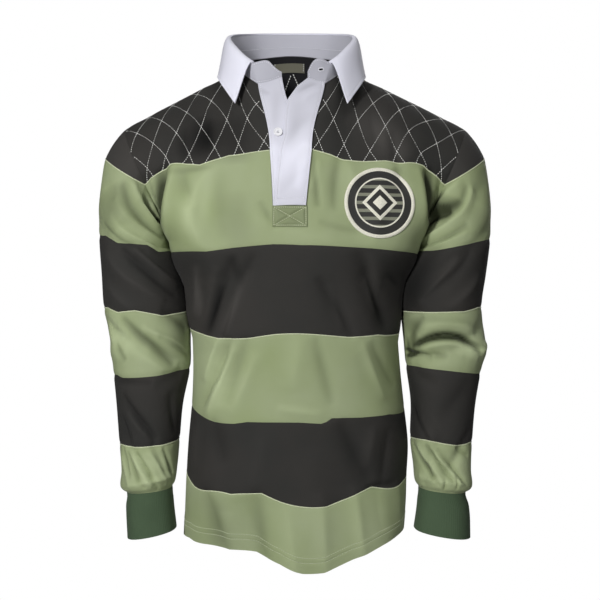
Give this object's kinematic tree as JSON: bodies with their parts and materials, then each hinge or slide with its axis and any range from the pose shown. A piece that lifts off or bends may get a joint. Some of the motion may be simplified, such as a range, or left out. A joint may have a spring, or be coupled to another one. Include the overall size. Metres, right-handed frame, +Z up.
{
  "type": "rugby shirt",
  "caption": "Long-sleeved rugby shirt in its worn shape, open and hollow, with wide bands, quilted shoulders, a folded twill collar and a short buttoned placket.",
  "frame": {"origin": "base of the neck, midway between the two points where the shoulder seams meet the collar", "axes": "+Z up along the body, +Y towards the wearer's back, +X towards the wearer's left"},
  "size_m": [0.5832, 0.2356, 0.8039],
  "materials": {
    "charcoal_jersey": "matt cotton jersey, dark charcoal",
    "sage_jersey": "matt cotton jersey, sage green",
    "white_twill": "smooth cotton twill, white",
    "bottle_green_rib": "ribbed knit, dark green",
    "button_white": "smooth white rubber",
    "label_grey": "woven tape, grey",
    "patch_thread": "embroidered thread, cream and dark"
  },
  "bodies": {
    "root": {"sleeve_left_cap": "charcoal_jersey", "sleeve_left_band_1": "sage_jersey", "sleeve_left_band_2": "charcoal_jersey", "sleeve_left_band_3": "sage_jersey", "sleeve_left_band_4": "charcoal_jersey", "sleeve_left_band_5": "sage_jersey", "sleeve_left_cuff": "bottle_green_rib", "sleeve_right_cap": "charcoal_jersey", "sleeve_right_band_1": "sage_jersey", "sleeve_right_band_2": "charcoal_jersey", "sleeve_right_band_3": "sage_jersey", "sleeve_right_band_4": "charcoal_jersey", "sleeve_right_band_5": "sage_jersey", "sleeve_right_cuff": "bottle_green_rib", "front_yoke_left": "charcoal_jersey", "front_yoke_right": "charcoal_jersey", "back_yoke": "charcoal_jersey", "front_band_1": "sage_jersey", "front_band_2": "charcoal_jersey", "front_band_3": "sage_jersey", "front_band_4": "charcoal_jersey", "front_band_5": "sage_jersey", "back_band_1": "sage_jersey", "back_band_2": "charcoal_jersey", "back_band_3": "sage_jersey", "back_band_4": "charcoal_jersey", "back_band_5": "sage_jersey", "collar_stand": "white_twill", "collar_leaf": "white_twill", "placket_under": "white_twill", "placket_over": "white_twill", "placket_button": "button_white", "neck_label": "label_grey", "chest_patch": "patch_thread"}
  },
  "joints": []
}
